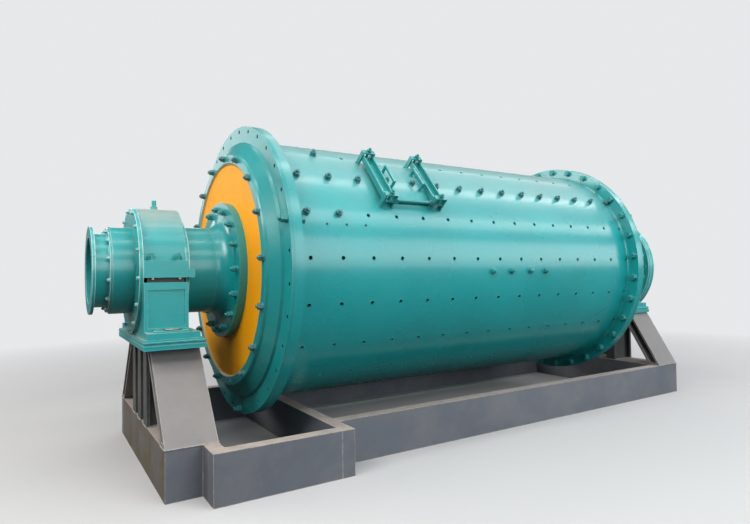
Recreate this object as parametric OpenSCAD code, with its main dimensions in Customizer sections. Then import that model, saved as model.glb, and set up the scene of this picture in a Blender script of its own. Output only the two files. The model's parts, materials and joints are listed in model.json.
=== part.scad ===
// Ball mill: a flanged drum on two hollow trunnions, turning in split
// bearings that stand on two pedestals of one welded base frame.
// X runs along the drum's axis towards the discharge end, Z is up,
// and the origin is on the floor below the middle of the drum.

/* [Drum] */
// Clear height between the shell and the beams under it
shell_clear = 64; // [60:2:150]
// Half the length of the drum over the outer faces of its two end flanges
drum_half = 2000; // [1900:10:2060]
// Outer radius of the drum's shell
shell_r = 1084; // [1000:2:1100]
// Thickness of the shell plate
shell_wall = 28; // [16:2:45]
// How far the bolted flanges stand out past the shell
flange_w = 116; // [80:2:120]
// Thickness of a shell flange
shell_flange_t = 60; // [40:5:90]
// Thickness of the flange of a head
head_flange_t = 35; // [25:5:60]
// Distance of the flange holes from the rim of the flange
flange_bolt_in = 41; // [30:1:50]
// Number of holes in a flange
flange_holes = 32; // [16:4:48]
// Radius of a hole in a flange
flange_hole_r = 16; // [10:1:20]
// Turn of the first flange hole from the top of the drum
flange_hole_turn = 5.84; // [0:0.5:11]

/* [Liner bolt holes] */
// Number of rows of liner bolt holes around the shell
hole_rows = 20; // [12:1:24]
// Number of holes in a row
hole_columns = 15; // [8:1:16]
// Distance of the first holes from the feed end of the shell
hole_feed_end = 98; // [60:1:130]
// Distance of the last holes from the discharge end of the shell
hole_discharge_end = 30; // [24:1:60]
// Radius of a liner bolt hole
liner_hole_r = 15; // [8:1:18]
// Turn of one row of holes from the top of the drum towards the near side
hole_row_turn = 14.5; // [0:0.5:17.5]

/* [Heads] */
// Wall of a head
head_wall = 55; // [40:5:70]
// How far inside the shell's outer radius the dished part of a head begins
dish_in = 14; // [6:1:40]
// Width of the dished slope between the flange and the raised lip
slope_w = 105; // [80:5:140]
// Width of the lip
lip_w = 80; // [50:1:100]
// How far the lip stands out past the head's flange
lip_out = 100; // [80:5:130]
// Depth of the face plate's front below the lip
face_sink = 14; // [5:1:25]
// Thickness of the painted face plate of a head
face_t = 22; // [12:1:30]

/* [Trunnions] */
// Radius of the journal at the feed end
feed_journal_r = 345; // [330:1:360]
// Radius of the journal at the discharge end
discharge_journal_r = 385; // [372:1:395]
// How far the bolted flange of the feed trunnion stands out past its journal
feed_trunnion_flange_w = 215; // [190:5:250]
// How far the bolted flange of the discharge trunnion stands out past its journal
discharge_trunnion_flange_w = 225; // [190:5:260]
// How far a trunnion's flange stands out past the face plate
trunnion_flange_out = 62; // [40:2:80]
// Radius of the fillet between a trunnion's flange and its journal
trunnion_fillet = 110; // [60:5:130]
// Wall of a trunnion at its journal
trunnion_wall = 68; // [50:2:80]
// Number of bolts on a trunnion's flange
trunnion_bolts = 16; // [8:4:24]
// Radius of a bolt hole in a trunnion's flange
trunnion_hole_r = 14; // [8:1:18]
// Length of the collar of the feed trunnion outside its bearing
feed_collar_len = 145; // [100:5:180]
// Step down from the feed journal to its collar
feed_collar_step = 15; // [5:1:25]

/* [Liners] */
// Wall of the liner tubes inside the trunnions
liner_wall = 30; // [15:1:40]
// Length of the feed liner's neck between its two rings
feed_neck_len = 93; // [60:1:120]
// Thickness of the ring at the mouth of the feed liner
feed_mouth_t = 22; // [14:1:30]
// How far the ring at the mouth of the feed liner stands out past its neck
feed_mouth_w = 53; // [40:1:70]
// Thickness of the feed liner's clamped ring
feed_seat_t = 20; // [12:1:30]
// Thickness of each of the two rings at the discharge end
discharge_ring_t = 57; // [40:1:60]
// Room between the pedestal's end and the first of those rings
discharge_ring_play = 19; // [10:1:30]
// How far the two rings at the discharge end stand out past the liner
discharge_ring_w = 323; // [240:1:330]

/* [Bearings] */
// Distance of the feed bearing from the feed end of the drum
feed_bearing_off = 505; // [480:5:520]
// Length of the feed bearing
feed_bearing_len = 305; // [280:5:320]
// Height of the feed bearing cap above its journal
feed_cap_rise = 135; // [120:5:150]
// Distance of the feed bearing cap's sides from its journal
feed_cap_side = 40; // [34:1:50]
// Distance of the ends of the feed bearing's split flanges from its journal
feed_split_side = 135; // [125:5:170]
// Metal of the feed bearing's base below its bush
feed_base_floor = 95; // [60:5:110]
// Distance of the discharge bearing from the discharge end of the drum
discharge_bearing_off = 625; // [600:5:640]
// Length of the discharge bearing
discharge_bearing_len = 330; // [300:5:340]
// Height of the discharge bearing cap above its journal
discharge_cap_rise = 145; // [130:5:160]
// Distance of the discharge bearing cap's sides from its journal
discharge_cap_side = 45; // [34:1:52]
// Wall of a bearing cap
cap_wall = 24; // [14:1:26]
// Distance of the ends of the discharge bearing's split flanges from its journal
discharge_split_side = 110; // [105:5:130]
// Metal of the discharge bearing's base below its bush
discharge_base_floor = 55; // [45:5:100]
// Wall of the half bushes that carry the journals
bush_wall = 50; // [30:2:52]
// Height of the joint of the bearings below the drum's axis
split_drop = 60; // [50:5:70]
// Height of the shim packs in that joint
shim_h = 35; // [20:1:45]
// Height of the shoulders of a bearing cap
shoulder_h = 122; // [80:2:140]
// Reach and height of the lug on the inner face of those shoulders
cap_lug_out = 46; // [30:2:60]
cap_lug_h = 62; // [40:2:76]
// Depth of the panels in the sides of a bearing base
panel_depth = 9; // [4:1:12]
// Thickness of the seal rings on the faces of a bearing
seal_t = 28; // [15:1:35]
// Play between a seal ring and the journal
seal_play = 5; // [5:0.5:8]
// Width of the inner seal rings past the journal
seal_w = 62; // [50:1:70]
// Height of the foot of a bearing base
foot_h = 45; // [30:5:60]
// How far that foot reaches beyond the base on the inside and at the sides
foot_out = 52; // [30:2:60]
// Height of the sole plate under a bearing
sole_h = 70; // [50:5:100]

/* [Base frame] */
// Height of the beams of the base frame
beam_h = 332; // [250:2:340]
// Width of the beams of the base frame
beam_w = 100; // [80:2:104]
// Half the width of the frame over its long beams
frame_half = 962; // [940:2:980]
// How far the feed bearing reaches past that end of the frame
feed_overhang = 41; // [20:1:50]
// How far the frame reaches past the discharge bearing
discharge_underhang = 32; // [30:1:60]
// Length of a pedestal along the drum's axis
pedestal_len = 340; // [300:5:345]
// How far the bay for the drive pinion stands out past the frame
bay_out = 238; // [180:2:238]
// Distance of the start of that bay from the feed end of the frame
bay_start_off = 237; // [200:1:239]
// Distance of the far end of that bay from the feed end of the drum
bay_end_off = 467; // [420:1:500]

/* [Pedestals] */
// Half the width of the feed pedestal under its sole plate
feed_top_half = 466; // [450:2:500]
// Half the width of the discharge pedestal under its sole plate
discharge_top_half = 610; // [590:2:640]
// Width of a pedestal's leg across the drum
leg_w = 130; // [110:2:136]
// Thickness of the flanges and webs of legs and posts
plate_t = 25; // [14:1:30]
// Width of the posts between the legs
post_w = 120; // [100:4:128]
// Distance of the outer posts from the drum's axis at the feed end
feed_post_y = 250; // [220:5:255]
// Distance of the outer posts from the drum's axis at the discharge end
discharge_post_y = 330; // [300:5:340]

/* [Manhole] */
// Turn of the manhole from the top of the drum towards the near side
manhole_turn = 49.5; // [46:0.5:51]
// Distance of the manhole from the middle of the drum towards the feed end
manhole_x = 855; // [800:5:900]
// Length of the manhole's cover along the drum
cover_len = 430; // [410:5:470]
// Gap between the manhole's cover and the yokes
cover_gap = 5; // [3:1:12]
// Thickness of that cover
cover_t = 22; // [12:1:30]
// Distance from the middle of one clamp beam to the middle of the other
clamp_pitch = 490; // [450:5:510]
// Length of a clamp beam
clamp_len = 560; // [500:10:600]
// Width of a clamp beam
clamp_w = 96; // [80:2:110]
// Height of the flanges of a clamp beam
clamp_h = 48; // [30:2:60]
// Thickness of the plates of a clamp beam and its yokes
clamp_t = 12; // [8:1:16]
// Height of the yokes at the ends of a clamp beam above the shell
yoke_h = 133; // [125:1:150]
// Width of a yoke around the drum
yoke_w = 44; // [30:2:60]
// Thickness of the bar of the cover's handles
handle_bar = 18; // [12:1:20]
// Length of a handle
handle_len = 208; // [180:2:230]
// Height of a handle above the cover
handle_h = 78; // [60:1:90]

/* [Hidden] */
$fn = 96;
FEED = 0;
DISCHARGE = 1;
// Plain clearance between pieces that are fitted into each other
fit_gap = 0.3;
// Amount by which a cutting tool passes the faces it cuts
over = 10;
axis_z = beam_h + shell_clear + shell_r;
flange_r = shell_r + flange_w;
flange_bolt_r = flange_r - flange_bolt_in;
dish_r = shell_r - dish_in;
lip_r = dish_r - slope_w;
split_z = axis_z - split_drop;
base_top_z = split_z - shim_h;
flange_in = drum_half - head_flange_t - shell_flange_t;
head_in = drum_half - head_flange_t;
lip_x = drum_half + lip_out;
face_x = lip_x - face_sink;
seat_x = face_x - face_t;
trunnion_face_x = face_x + trunnion_flange_out;
journal_x = trunnion_face_x + trunnion_fillet;
shell_bore_r = shell_r - shell_wall;
journal_r = [feed_journal_r, discharge_journal_r];
trunnion_flange_r = journal_r + [feed_trunnion_flange_w, discharge_trunnion_flange_w];
bearing_in = [drum_half + feed_bearing_off, drum_half + discharge_bearing_off];
bearing_out = bearing_in + [feed_bearing_len, discharge_bearing_len];
cap_r = journal_r + [feed_cap_rise, discharge_cap_rise];
cap_half = journal_r + [feed_cap_side, discharge_cap_side];
split_half = journal_r + [feed_split_side, discharge_split_side];
bush_r = [for (r = journal_r) r + bush_wall];
foot_z = [axis_z - bush_r[FEED] - feed_base_floor, axis_z - bush_r[DISCHARGE] - discharge_base_floor];
sole_z = [for (z = foot_z) z - sole_h];
foot_reach = [for (w = split_half) w + 2.5 * foot_out];
end_x = bearing_out + [-feed_overhang, discharge_underhang];
bay_start_x = end_x[FEED] - bay_start_off;
bay_end_x = drum_half - bay_end_off;
bay_half = frame_half + bay_out;
top_half = [feed_top_half, discharge_top_half];
post_y = [feed_post_y, discharge_post_y];
trunnion_bore = [for (r = journal_r) r - trunnion_wall];
liner_out = [for (r = trunnion_bore) r - fit_gap];
liner_bore = [for (r = liner_out) r - liner_wall];
discharge_ring_r = liner_out[DISCHARGE] + discharge_ring_w;
collar_r = feed_journal_r - feed_collar_step;
collar_x = bearing_out[FEED] + seal_t + 2;
collar_end_x = collar_x + feed_collar_len;
ring_x = end_x[DISCHARGE] + discharge_ring_play;
trunnion_end = [collar_end_x, ring_x];
bolt_inset = 60;
joint_groove = 5;
slot_w = 34;
slot_len = 70;
bush_inset = 12;
cover_arc_len = clamp_len - 2 * yoke_w - 2 * cover_gap;

// Puts what is modelled for the discharge end at one end of the mill
module at_end(e) {
    mirror([e == FEED ? 1 : 0, 0, 0]) children();
}

// Revolves a profile of radius and distance along the drum about the drum's axis
module turned() {
    translate([0, 0, axis_z]) rotate([0, 90, 0]) rotate_extrude() children();
}

// Extrudes a profile of Y and Z along the drum from x0 to x1
module along_x(x0, x1) {
    translate([x0, 0, 0]) rotate([90, 0, 90]) linear_extrude(x1 - x0) children();
}

// A round bar along the drum's direction, from x0 to x1, about the drum's axis
module axis_bar(r, x0, x1) {
    translate([x0, 0, axis_z]) rotate([0, 90, 0]) cylinder(r = r, h = x1 - x0);
}

// A flat ring about the drum's axis
module axis_ring(r_in, r_out, x0, x1) {
    turned() translate([r_in, x0]) square([r_out - r_in, x1 - x0]);
}

// Holes through a flange, on a circle about the drum's axis
module hole_circle(count, circle_r, hole_r, x0, x1, turn = 0) {
    for (i = [0 : count - 1])
        translate([x0, 0, axis_z]) rotate([turn + i * 360 / count, 0, 0])
            translate([0, 0, circle_r]) rotate([0, 90, 0]) cylinder(r = hole_r, h = x1 - x0, $fn = 24);
}

module box_between(low, high) {
    translate(low) cube(high - low);
}

// True where a liner bolt would stand under the manhole's cover or its clamps
function under_manhole(x, turn) =
    abs(x + manhole_x) < clamp_pitch / 2 + clamp_w / 2 + 3 * liner_hole_r
    && abs(turn - manhole_turn) < clamp_len / 2 / shell_r * 180 / PI + 2.5;

module liner_hole(x, turn) {
    translate([x, 0, axis_z]) rotate([turn, 0, 0]) translate([0, 0, shell_bore_r - 3 * over])
        cylinder(r = liner_hole_r, h = shell_wall + 4 * over, $fn = 24);
}

module shell() {
    hole_pitch = (2 * flange_in - hole_feed_end - hole_discharge_end) / (hole_columns - 1);
    color("lightseagreen") difference() {
        axis_ring(shell_bore_r, shell_r, -flange_in, flange_in);
        for (row = [0 : hole_rows - 1], column = [0 : hole_columns - 1]) {
            turn = hole_row_turn + row * 360 / hole_rows;
            x = -flange_in + hole_feed_end + column * hole_pitch;
            if (!under_manhole(x, turn)) liner_hole(x, turn);
        }
    }
}

module shell_flange() {
    color("lightseagreen") difference() {
        axis_ring(shell_bore_r, flange_r, flange_in, head_in);
        hole_circle(flange_holes, flange_bolt_r, flange_hole_r, flange_in - over, head_in + over,
            flange_hole_turn);
    }
}

// Profile of a head: bolted flange, dished wall, raised lip and the seat for its face plate
module head_profile(e) {
    inner_r = lip_r - lip_w;
    polygon([
        [trunnion_bore[e] + trunnion_wall / 2, seat_x - head_wall],
        [trunnion_bore[e] + trunnion_wall / 2, seat_x],
        [inner_r, seat_x],
        [inner_r, lip_x - 8],
        [inner_r + 8, lip_x],
        [lip_r - 8, lip_x],
        [lip_r, lip_x - 8],
        [lip_r + 6, lip_x - 26],
        [dish_r - 12, drum_half + 20],
        [dish_r, drum_half],
        [flange_r, drum_half],
        [flange_r, head_in],
        [shell_bore_r - 20, head_in],
        [inner_r - 10, seat_x - head_wall]
    ]);
}

module head(e) {
    color("lightseagreen") at_end(e) difference() {
        turned() head_profile(e);
        hole_circle(flange_holes, flange_bolt_r, flange_hole_r, head_in - over, drum_half + over,
            flange_hole_turn);
    }
}

module head_face(e) {
    color("orange") at_end(e)
        axis_ring(trunnion_flange_r[e] + fit_gap, lip_r - lip_w - fit_gap, seat_x, face_x);
}

// Profile of a trunnion's bolted flange with the fillet that runs down to the journal
module trunnion_flange_profile(e) {
    r = journal_r[e];
    difference() {
        polygon([
            [trunnion_bore[e], seat_x],
            [trunnion_flange_r[e], seat_x],
            [trunnion_flange_r[e], trunnion_face_x],
            [r + trunnion_fillet, trunnion_face_x],
            [r, journal_x],
            [trunnion_bore[e], journal_x]
        ]);
        translate([r + trunnion_fillet, journal_x]) circle(r = trunnion_fillet);
    }
}

module trunnion_flange(e) {
    color("lightseagreen") at_end(e) difference() {
        turned() trunnion_flange_profile(e);
        hole_circle(trunnion_bolts, trunnion_flange_r[e] - bolt_inset, trunnion_hole_r,
            seat_x - over, trunnion_face_x + over);
    }
}

// The hollow journal; at the feed end it has a stepped collar outside its bearing
module trunnion(e) {
    r = journal_r[e];
    color("lightseagreen") at_end(e) turned() {
        translate([trunnion_bore[e], journal_x])
            square([r - trunnion_bore[e], (e == FEED ? collar_x : trunnion_end[e]) - journal_x]);
        if (e == FEED)
            translate([trunnion_bore[e], collar_x - over])
                square([collar_r - trunnion_bore[e], collar_end_x - collar_x + over]);
    }
}

// Feed liner: a tube through the trunnion, a ring clamped to its end, a neck and a mouth ring
module feed_liner() {
    seat_end = collar_end_x + feed_seat_t;
    mouth_x = seat_end + feed_neck_len;
    color("mediumturquoise") at_end(FEED) turned() polygon([
        [liner_bore[FEED], seat_x - head_wall],
        [liner_out[FEED], seat_x - head_wall],
        [liner_out[FEED], collar_end_x],
        [collar_r - 12, collar_end_x],
        [collar_r - 12, seat_end],
        [liner_out[FEED], seat_end],
        [liner_out[FEED], mouth_x],
        [liner_out[FEED] + feed_mouth_w, mouth_x],
        [liner_out[FEED] + feed_mouth_w, mouth_x + feed_mouth_t],
        [liner_bore[FEED], mouth_x + feed_mouth_t]
    ]);
}

// Discharge liner: a tube that ends level with its trunnion
module discharge_liner() {
    color("mediumturquoise")
        axis_ring(liner_bore[DISCHARGE], liner_out[DISCHARGE], seat_x - head_wall, ring_x);
}

// The flanged ring on the end of the discharge trunnion: two bolted halves with a joint between them
module discharge_ring() {
    outer_x = ring_x + 2 * discharge_ring_t;
    joint_x = ring_x + discharge_ring_t;
    color("lightseagreen") difference() {
        turned() polygon([
            [liner_bore[DISCHARGE], ring_x],
            [discharge_ring_r, ring_x],
            [discharge_ring_r, joint_x - joint_groove],
            [discharge_ring_r - joint_groove, joint_x],
            [discharge_ring_r, joint_x + joint_groove],
            [discharge_ring_r, outer_x],
            [liner_bore[DISCHARGE], outer_x]
        ]);
        hole_circle(trunnion_bolts, discharge_ring_r - bolt_inset, trunnion_hole_r, ring_x - over,
            outer_x + over);
    }
}

// Places a piece at the manhole: X along the drum, Y around it and Z away from its axis
module at_manhole() {
    translate([-manhole_x, 0, axis_z]) rotate([manhole_turn, 0, 0]) children();
}

// The curved cover over the manhole, with two handles
module manhole_cover() {
    cover_r = shell_r + fit_gap + cover_t;
    color("lightseagreen") at_manhole() {
        intersection() {
            translate([-cover_len / 2, 0, 0]) rotate([0, 90, 0]) difference() {
                cylinder(r = cover_r, h = cover_len);
                translate([0, 0, -over]) cylinder(r = shell_r + fit_gap, h = cover_len + 2 * over);
            }
            translate([-cover_len, -cover_arc_len / 2, 0])
                cube([2 * cover_len, cover_arc_len, 2 * shell_r]);
        }
        for (side = [-1, 1])
            along_x(side * cover_len / 3 - handle_bar / 2, side * cover_len / 3 + handle_bar / 2)
                handle_outline(cover_r);
    }
}

// A bar bent into a staple, sunk into the cover where its two legs are welded on
module handle_outline(cover_r) {
    difference() {
        translate([-handle_len / 2, cover_r - 16]) square([handle_len, handle_h + 16]);
        translate([-handle_len / 2 + handle_bar, cover_r - 30])
            square([handle_len - 2 * handle_bar, handle_h + 30 - handle_bar]);
        circle(r = cover_r - 6);
    }
}

// A clamp beam: an open channel that presses on the cover, with a yoke over each of its ends
module clamp(side) {
    web_z = shell_r + cover_t + 2 * fit_gap;
    color("teal") at_manhole() translate([side * clamp_pitch / 2, 0, 0]) difference() {
        union() {
            translate([-clamp_w / 2, -clamp_len / 2, web_z]) cube([clamp_w, clamp_len, clamp_t]);
            for (edge = [-1, 1])
                translate([edge * (clamp_w - clamp_t) / 2 - clamp_t / 2, -clamp_len / 2, web_z])
                    cube([clamp_t, clamp_len, clamp_h]);
            for (end = [-1, 1])
                translate([0, end * (clamp_len - yoke_w) / 2, 0]) yoke();
        }
        translate([-clamp_pitch, 0, 0]) rotate([0, 90, 0])
            cylinder(r = shell_r + fit_gap, h = 2 * clamp_pitch);
    }
}

// A yoke: two legs that stand on the shell beside the beam, and the bar that joins them
module yoke() {
    half = clamp_w / 2 + clamp_t - 2;
    top = shell_r * cos(asin(clamp_len / 2 / shell_r)) + yoke_h;
    for (edge = [-1, 1])
        translate([edge * (half - clamp_t / 2) - clamp_t / 2, -yoke_w / 2, top - yoke_h - over])
            cube([clamp_t, yoke_w, yoke_h + over]);
    box_between([-half, -yoke_w / 2, top - clamp_t], [half, yoke_w / 2, top]);
}

// The rod that ties the lower yokes of the two clamp beams
module clamp_tie_rod() {
    reach = clamp_pitch / 2 - clamp_w / 2 - clamp_t + 2;
    color("teal") at_manhole() translate([-reach, -(clamp_len - yoke_w) / 2, shell_r + 32])
        rotate([0, 90, 0]) cylinder(r = 14, h = 2 * reach, $fn = 32);
}

// A half bush: it carries the journal from below and ends at the top of the base
module bearing_bush(e) {
    r = bush_r[e];
    color("darkgoldenrod") at_end(e) intersection() {
        axis_ring(journal_r[e] + fit_gap, r, bearing_in[e] + bush_inset, bearing_out[e] - bush_inset);
        box_between([bearing_in[e], -r, axis_z - r], [bearing_out[e], r, base_top_z]);
    }
}

// The seat of the bush, cut through a bearing
module bush_seat(e) {
    axis_bar(bush_r[e] + fit_gap, bearing_in[e] - over, bearing_out[e] + over);
}

// The arched outline of a bearing cap, less an even wall
module cap_arch(e, wall) {
    arch_z = axis_z + cap_r[e] - cap_half[e];
    translate([0, arch_z]) circle(r = cap_half[e] - wall);
    translate([-cap_half[e] + wall, split_z - wall])
        square([2 * (cap_half[e] - wall), arch_z - split_z + wall]);
}

module bearing_cap(e) {
    color("lightseagreen") at_end(e) {
        along_x(bearing_in[e], bearing_out[e]) difference() {
            union() {
                cap_arch(e, 0);
                translate([-split_half[e], split_z]) square([2 * split_half[e], shoulder_h]);
            }
            cap_arch(e, cap_wall);
            translate([-split_half[e], 0]) square([2 * split_half[e], split_z]);
        }
        lug_w = split_half[e] - journal_r[e] - seal_w - fit_gap;
        for (side = [-1, 1])
            translate([bearing_in[e] - cap_lug_out, side * (split_half[e] - lug_w / 2) - lug_w / 2, split_z])
                cube([cap_lug_out + over, lug_w, cap_lug_h]);
        translate([(bearing_in[e] + bearing_out[e]) / 2, 0, axis_z + cap_r[e] - cap_wall / 2]) oil_nipple();
    }
}

// The hexagon and the pipe stub on top of a cap
module oil_nipple() {
    cylinder(r = 26, h = 34, $fn = 6);
    cylinder(r = 17, h = 82);
}

// Shim packs that keep the two halves of a bearing apart
module bearing_shims(e) {
    shim_w = split_half[e] - bush_r[e] - 30;
    color("dimgray") at_end(e) for (side = [-1, 1])
        translate([bearing_in[e] + 25, side * (split_half[e] - 20 - shim_w / 2) - shim_w / 2, base_top_z])
            cube([bearing_out[e] - bearing_in[e] - 50, shim_w, shim_h]);
}

module bearing_base(e) {
    color("lightseagreen") at_end(e) difference() {
        union() {
            box_between([bearing_in[e], -split_half[e], foot_z[e]],
                [bearing_out[e], split_half[e], base_top_z]);
            box_between([bearing_in[e] - foot_out, -foot_reach[e], foot_z[e]],
                [bearing_out[e], foot_reach[e], foot_z[e] + foot_h]);
        }
        bush_seat(e);
        panel_z = foot_z[e] + foot_h + 24;
        for (side = [-1, 1])
            translate([bearing_in[e] + 26, side * (split_half[e] + over - panel_depth) - over, panel_z])
                cube([bearing_out[e] - bearing_in[e] - 52, 2 * over, base_top_z - 52 - panel_z]);
        for (side = [-1, 1], x = [bearing_in[e] + 30, bearing_out[e] - 80])
            translate([x, side * (split_half[e] + 1.3 * foot_out), foot_z[e] - over]) bolt_slot();
    }
}

// An upright slot for a holding-down bolt
module bolt_slot() {
    linear_extrude(foot_h + 2 * over) {
        translate([-slot_len / 2 + slot_w / 2, -slot_w / 2]) square([slot_len - slot_w, slot_w]);
        for (end = [-1, 1])
            translate([end * (slot_len - slot_w) / 2, 0]) circle(d = slot_w, $fn = 32);
    }
}

// A seal ring on one face of a bearing, cut flat where it would reach below low_z
module seal_ring(e, r_out, x0, low_z) {
    color("mediumturquoise") at_end(e) intersection() {
        axis_ring(journal_r[e] + seal_play, r_out, x0, x0 + seal_t);
        box_between([x0 - over, -2 * r_out, low_z], [x0 + seal_t + over, 2 * r_out, axis_z + 2 * r_out]);
    }
}

module outer_seal(e) {
    seal_ring(e, cap_r[e], bearing_out[e], foot_z[e] + fit_gap);
}

module inner_seal(e) {
    seal_ring(e, journal_r[e] + seal_w, bearing_in[e] - seal_t, foot_z[e] + foot_h + fit_gap);
}

module sole_plate(e) {
    reach = foot_reach[e] + 15;
    inner = bearing_in[e] - foot_out - 35;
    outer = e == FEED ? bearing_out[e] + 25 : end_x[e];
    color("lightseagreen") at_end(e) {
        box_between([inner, -reach, sole_z[e]], [outer, reach, sole_z[e] + sole_h / 2]);
        box_between([inner + 12, -reach + 12, sole_z[e] + sole_h / 2], [outer, reach - 12, foot_z[e]]);
    }
}

// Y of the outer face of a pedestal's leg at height z
function leg_y(e, z) = frame_half + (top_half[e] - frame_half) * (z - beam_h) / (sole_z[e] - beam_h);

// A leg seen along the drum, and the pocket that its web leaves between its flanges
module leg_outline(e) {
    polygon([
        [leg_y(e, beam_h) - leg_w, beam_h], [leg_y(e, beam_h), beam_h],
        [leg_y(e, sole_z[e]), sole_z[e]], [leg_y(e, sole_z[e]) - leg_w, sole_z[e]]
    ]);
}

module leg_pocket(e) {
    low = beam_h + plate_t;
    high = sole_z[e] - plate_t;
    polygon([
        [leg_y(e, low) - leg_w + plate_t, low], [leg_y(e, low) - plate_t, low],
        [leg_y(e, high) - plate_t, high], [leg_y(e, high) - leg_w + plate_t, high]
    ]);
}

module leg(e, side) {
    x0 = end_x[e] - pedestal_len;
    middle = end_x[e] - pedestal_len / 2;
    color("lightslategray") at_end(e) mirror([0, side < 0 ? 1 : 0, 0]) difference() {
        along_x(x0, end_x[e]) leg_outline(e);
        along_x(x0 - over, middle - plate_t / 2) leg_pocket(e);
        along_x(middle + plate_t / 2, end_x[e] + over) leg_pocket(e);
    }
}

// Upright posts between the legs, each two flanges that face along the drum, joined by a web
module posts(e) {
    x0 = end_x[e] - pedestal_len;
    color("slategray") at_end(e) for (y = [-post_y[e], 0, post_y[e]]) {
        for (x = [x0, end_x[e] - plate_t])
            box_between([x, y - post_w / 2, beam_h], [x + plate_t, y + post_w / 2, sole_z[e]]);
        box_between([x0 + plate_t, y - plate_t / 2, beam_h],
            [end_x[e] - plate_t, y + plate_t / 2, sole_z[e]]);
    }
}

module beam(low, high) {
    color("slategray") box_between([low[0], low[1], 0], [high[0], high[1], beam_h]);
}

module near_long_beam() {
    beam([-bay_end_x, -frame_half], [end_x[DISCHARGE], -frame_half + beam_w]);
}

module far_long_beam() {
    beam([-end_x[FEED], frame_half - beam_w], [end_x[DISCHARGE], frame_half]);
}

module feed_cross_beam() {
    beam([-end_x[FEED], -frame_half], [-end_x[FEED] + pedestal_len, frame_half - beam_w]);
}

module discharge_cross_beam() {
    beam([end_x[DISCHARGE] - pedestal_len, -frame_half + beam_w], [end_x[DISCHARGE], frame_half - beam_w]);
}

// The beam at the end of the pinion bay, which goes on under the drum
module bay_cross_beam() {
    beam([-bay_end_x - beam_w, -bay_half], [-bay_end_x, frame_half - beam_w]);
}

module bay_outer_beam() {
    beam([-bay_start_x, -bay_half], [-bay_end_x - beam_w, -bay_half + beam_w]);
}

module bay_feed_beam() {
    beam([-bay_start_x, -bay_half + beam_w], [-bay_start_x + beam_w, -frame_half]);
}

shell();
at_end(FEED) shell_flange();  // feed_shell_flange
shell_flange();  // discharge_shell_flange
head(FEED);  // feed_head
head(DISCHARGE);  // discharge_head
head_face(FEED);  // feed_head_face
head_face(DISCHARGE);  // discharge_head_face
trunnion_flange(FEED);  // feed_trunnion_flange
trunnion_flange(DISCHARGE);  // discharge_trunnion_flange
trunnion(FEED);  // feed_trunnion
trunnion(DISCHARGE);  // discharge_trunnion
feed_liner();
discharge_liner();
discharge_ring();
manhole_cover();
clamp(-1);  // feed_side_clamp
clamp(1);  // discharge_side_clamp
clamp_tie_rod();
bearing_bush(FEED);  // feed_bearing_bush
bearing_base(FEED);  // feed_bearing_base
bearing_cap(FEED);  // feed_bearing_cap
bearing_shims(FEED);  // feed_bearing_shims
outer_seal(FEED);  // feed_outer_seal
inner_seal(FEED);  // feed_inner_seal
sole_plate(FEED);  // feed_sole_plate
bearing_bush(DISCHARGE);  // discharge_bearing_bush
bearing_base(DISCHARGE);  // discharge_bearing_base
bearing_cap(DISCHARGE);  // discharge_bearing_cap
bearing_shims(DISCHARGE);  // discharge_bearing_shims
outer_seal(DISCHARGE);  // discharge_outer_seal
inner_seal(DISCHARGE);  // discharge_inner_seal
sole_plate(DISCHARGE);  // discharge_sole_plate
leg(FEED, -1);  // feed_leg_near
leg(FEED, 1);  // feed_leg_far
posts(FEED);  // feed_posts
leg(DISCHARGE, -1);  // discharge_leg_near
leg(DISCHARGE, 1);  // discharge_leg_far
posts(DISCHARGE);  // discharge_posts
near_long_beam();
far_long_beam();
feed_cross_beam();
discharge_cross_beam();
bay_cross_beam();
bay_outer_beam();
bay_feed_beam();
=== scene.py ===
# %% [markdown]
# A ball mill is a steel drum on two hollow trunnions, lying in split bearings on a welded frame.
# The imported model gives every casting, plate and beam at its real place. This lesson adds what a
# painter and a fitter leave on them: paint, worn edges that are partly painted highlights, weld
# beads, and hundreds of bolts and nuts.
# All sizes are in metres, X runs along the drum towards its discharge end and Z is up.

# %% Load the imported model
import json
import math
import random

import bmesh
import bpy
from mathutils import Matrix, Vector


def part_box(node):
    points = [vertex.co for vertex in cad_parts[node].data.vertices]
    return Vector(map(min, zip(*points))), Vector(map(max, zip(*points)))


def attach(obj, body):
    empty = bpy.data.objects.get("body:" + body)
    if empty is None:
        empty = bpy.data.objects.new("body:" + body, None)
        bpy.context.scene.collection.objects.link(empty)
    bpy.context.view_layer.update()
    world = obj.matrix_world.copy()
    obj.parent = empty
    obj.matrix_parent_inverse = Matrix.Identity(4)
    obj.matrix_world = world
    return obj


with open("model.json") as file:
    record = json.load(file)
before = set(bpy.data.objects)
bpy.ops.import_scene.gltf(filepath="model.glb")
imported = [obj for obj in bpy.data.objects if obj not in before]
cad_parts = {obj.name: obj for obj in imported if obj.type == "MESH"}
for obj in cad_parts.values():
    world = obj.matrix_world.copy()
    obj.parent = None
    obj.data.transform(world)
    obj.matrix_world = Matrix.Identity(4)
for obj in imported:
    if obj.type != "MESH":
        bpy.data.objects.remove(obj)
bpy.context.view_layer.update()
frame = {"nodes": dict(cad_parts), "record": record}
nodes = frame["nodes"]
print("the packed model has", len(nodes), "nodes")

# %% [markdown]
# Every bolt circle is centred on the drum's axis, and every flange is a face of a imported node.
# So most places come from the nodes' own boxes. The numbers that open each cell are the sizes of
# its fasteners and their distances from an edge.

# %% Sizes read from the model
FEED, DISCHARGE = -1, 1
NAMES = {FEED: "feed", DISCHARGE: "discharge"}


def low(node):
    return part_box(node)[0]


def high(node):
    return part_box(node)[1]


def outer_x(node, end):
    """Distance from the middle of the drum to a node's outer face, at one end."""
    return high(node).x if end == DISCHARGE else -low(node).x


def inner_x(node, end):
    """Distance from the middle of the drum to a node's inner face, at one end."""
    return low(node).x if end == DISCHARGE else -high(node).x


def middle_x(node):
    return (low(node).x + high(node).x) / 2


def radius(node):
    return (high(node).z - low(node).z) / 2


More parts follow.
